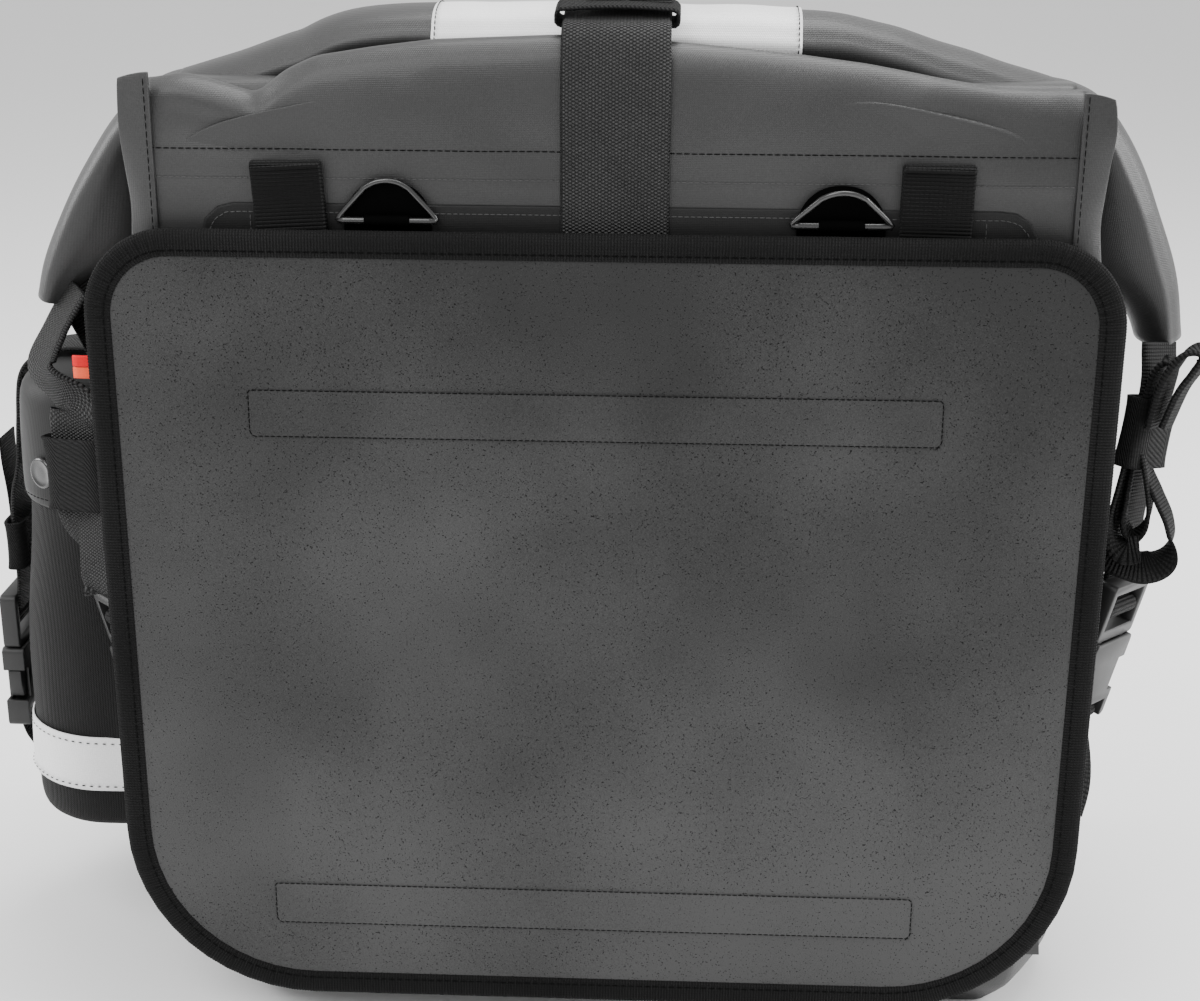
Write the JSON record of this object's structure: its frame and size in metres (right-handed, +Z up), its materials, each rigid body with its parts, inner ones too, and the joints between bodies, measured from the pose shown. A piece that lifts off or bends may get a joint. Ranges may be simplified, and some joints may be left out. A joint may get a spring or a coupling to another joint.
{
  "type": "motorcycle side bag",
  "caption": "Roll-top soft side bag for a motorcycle, with a heat panel on its mounting side, strap closures with side-release buckles and a side bottle pocket.",
  "frame": {"origin": "on the underside, below the middle of the bag's body", "axes": "+X along the bag's width, away from the pocket; -Y out of the mounting side; +Z up, towards the roll"},
  "size_m": [0.4849, 0.2074, 0.4026],
  "materials": {
    "coated_fabric": "grey PVC-coated polyester, soft sheen",
    "felt": "speckled dark grey heat-proof felt",
    "grosgrain": "black ribbed binding tape",
    "webbing": "black woven polypropylene webbing",
    "ballistic": "black twill-weave nylon",
    "reflective": "silver retro-reflective tape",
    "moulded": "black moulded acetal",
    "rubber": "black rubberised sheet",
    "board": "white extruded stiffening board",
    "tag_red": "red woven tag",
    "tag_orange": "orange woven tag"
  },
  "bodies": {
    "bag": {"bag_shell": "coated_fabric", "back_stiffener": "board", "base_stiffener": "board", "base_patch": "coated_fabric", "seam_flange_left": "coated_fabric", "seam_flange_right": "coated_fabric", "back_patch": "coated_fabric", "closure_roll": "coated_fabric", "mouth_stiffener": "board", "roll_band": "reflective", "ear_left": "coated_fabric", "ear_right": "coated_fabric", "heat_panel": "felt", "panel_binding": "grosgrain", "upper_strip": "felt", "lower_strip": "felt", "centre_strap": "webbing", "strap_keeper": "webbing", "strap_tail": "webbing", "front_anchor_strap": "webbing", "front_buckle_male": "moulded", "front_buckle_female": "moulded", "hanger_loop_left": "webbing", "hanger_loop_right": "webbing", "ring_tab_left": "rubber", "ring_tab_right": "rubber", "left_upper_strap": "webbing", "left_lower_strap": "webbing", "tag_red": "tag_red", "tag_orange": "tag_orange", "left_buckle_male": "moulded", "left_buckle_female": "moulded", "right_upper_strap": "webbing", "right_fold": "webbing", "right_loops": "webbing", "right_lower_strap": "webbing", "right_buckle_male": "moulded", "right_buckle_female": "moulded", "pocket_shell": "ballistic", "pocket_lid": "ballistic", "pocket_band": "reflective", "pocket_strap": "webbing", "pocket_lower_strap": "webbing", "pocket_buckle_male": "moulded", "pocket_buckle_female": "moulded", "snap_cap": "moulded"},
    "front_prong_a": {"front_prong_a": "moulded"},
    "front_prong_b": {"front_prong_b": "moulded"},
    "left_prong_a": {"left_prong_a": "moulded"},
    "left_prong_b": {"left_prong_b": "moulded"},
    "right_prong_a": {"right_prong_a": "moulded"},
    "right_prong_b": {"right_prong_b": "moulded"},
    "pocket_prong_a": {"pocket_prong_a": "moulded"},
    "pocket_prong_b": {"pocket_prong_b": "moulded"},
    "ring_left": {"ring_left": "moulded"},
    "ring_right": {"ring_right": "moulded"},
    "left_sleeve": {"left_sleeve": "webbing"},
    "right_sleeve": {"right_sleeve": "webbing"},
    "pocket_keeper": {"pocket_keeper": "webbing"}
  },
  "joints": [
    {"name": "front_prong_a_squeeze", "type": "hinge", "parent": "bag", "child": "front_prong_a", "pos_m": [0.0181, 0.099, 0.2318], "axis": [0, 1, 0], "range_deg": [0, 8], "stiffness_Nm_per_rad": 0.02},
    {"name": "front_prong_b_squeeze", "type": "hinge", "parent": "bag", "child": "front_prong_b", "pos_m": [-0.0159, 0.099, 0.2318], "axis": [0, -1, 0], "range_deg": [0, 8], "stiffness_Nm_per_rad": 0.02},
    {"name": "left_prong_a_squeeze", "type": "hinge", "parent": "bag", "child": "left_prong_a", "pos_m": [-0.18247, -0.08349, 0.15035], "axis": [0.7832, 0.5878, 0.2026], "range_deg": [0, 8], "stiffness_Nm_per_rad": 0.02},
    {"name": "left_prong_b_squeeze", "type": "hinge", "parent": "bag", "child": "left_prong_b", "pos_m": [-0.19442, -0.0665, 0.14726], "axis": [-0.7832, -0.5878, -0.2026], "range_deg": [0, 8], "stiffness_Nm_per_rad": 0.02},
    {"name": "right_prong_a_squeeze", "type": "hinge", "parent": "bag", "child": "right_prong_a", "pos_m": [0.19592, -0.0665, 0.16226], "axis": [-0.7832, 0.5878, 0.2026], "range_deg": [0, 8], "stiffness_Nm_per_rad": 0.02},
    {"name": "right_prong_b_squeeze", "type": "hinge", "parent": "bag", "child": "right_prong_b", "pos_m": [0.18397, -0.08349, 0.16535], "axis": [0.7832, -0.5878, -0.2026], "range_deg": [0, 8], "stiffness_Nm_per_rad": 0.02},
    {"name": "pocket_prong_a_squeeze", "type": "hinge", "parent": "bag", "child": "pocket_prong_a", "pos_m": [-0.257, 0.0055, 0.1238], "axis": [-1, 0, 0], "range_deg": [0, 8], "stiffness_Nm_per_rad": 0.02},
    {"name": "pocket_prong_b_squeeze", "type": "hinge", "parent": "bag", "child": "pocket_prong_b", "pos_m": [-0.257, -0.0155, 0.1238], "axis": [1, 0, 0], "range_deg": [0, 8], "stiffness_Nm_per_rad": 0.02},
    {"name": "ring_left_swing", "type": "hinge", "parent": "bag", "child": "ring_left", "pos_m": [-0.079, -0.096, 0.3248], "axis": [1, 0, 0], "range_deg": [0, 88]},
    {"name": "ring_right_swing", "type": "hinge", "parent": "bag", "child": "ring_right", "pos_m": [0.0805, -0.096, 0.3248], "axis": [1, 0, 0], "range_deg": [-22, 60]},
    {"name": "left_sleeve_slide", "type": "slide", "parent": "bag", "child": "left_sleeve", "axis": [-0.0498, 0.0829, 0.9953], "range_m": [-0.006, 0.006]},
    {"name": "right_sleeve_slide", "type": "slide", "parent": "bag", "child": "right_sleeve", "axis": [0.1629, 0.1357, 0.9773], "range_m": [-0.003, 0.003]},
    {"name": "pocket_keeper_slide", "type": "slide", "parent": "bag", "child": "pocket_keeper", "axis": [0, 0, 1], "range_m": [-0.005, 0.005]}
  ],
  "couplings": [
    {"joint": "front_prong_b_squeeze", "follows": "front_prong_a_squeeze", "ratio": 1},
    {"joint": "left_prong_b_squeeze", "follows": "left_prong_a_squeeze", "ratio": 1},
    {"joint": "right_prong_b_squeeze", "follows": "right_prong_a_squeeze", "ratio": 1},
    {"joint": "pocket_prong_b_squeeze", "follows": "pocket_prong_a_squeeze", "ratio": 1}
  ]
}
